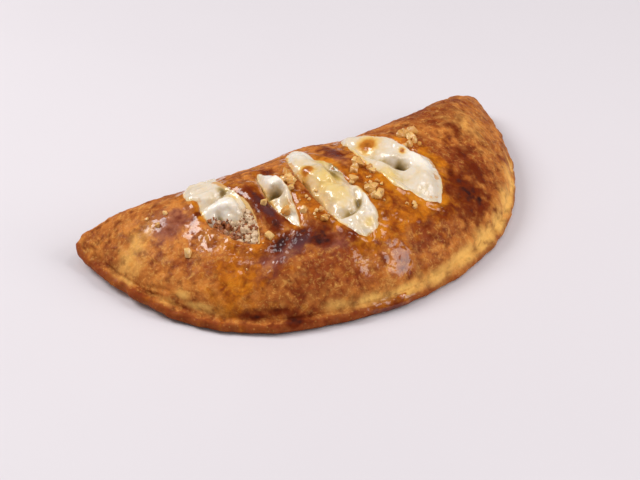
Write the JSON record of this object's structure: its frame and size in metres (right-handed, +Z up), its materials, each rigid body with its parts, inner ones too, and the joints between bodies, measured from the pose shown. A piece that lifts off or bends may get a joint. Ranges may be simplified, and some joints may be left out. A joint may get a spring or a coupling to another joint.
{
  "type": "calzone",
  "caption": "Half-moon calzone of folded baked dough, sealed along its curved edge, with melted cheese and filling showing in cuts across the ridge.",
  "frame": {"origin": "middle of the bounding box in plan, at the level of the flat underside that the calzone rests on", "axes": "+X along the fold from the pointed tip to the blunt tip, -Y from the fold to the curved sealed edge, +Z up"},
  "size_m": [0.2402, 0.1214, 0.0414],
  "materials": {
    "crust": "baked dough, mottled golden brown with a thin wet glaze",
    "filling": "cooked minced meat with crumbs of cheese",
    "cheese": "melted white cheese, smooth and moist"
  },
  "bodies": {
    "root": {"crust": "crust", "filling": "filling", "cheese_1": "cheese", "cheese_2": "cheese", "cheese_3": "cheese", "cheese_4": "cheese"}
  },
  "joints": []
}
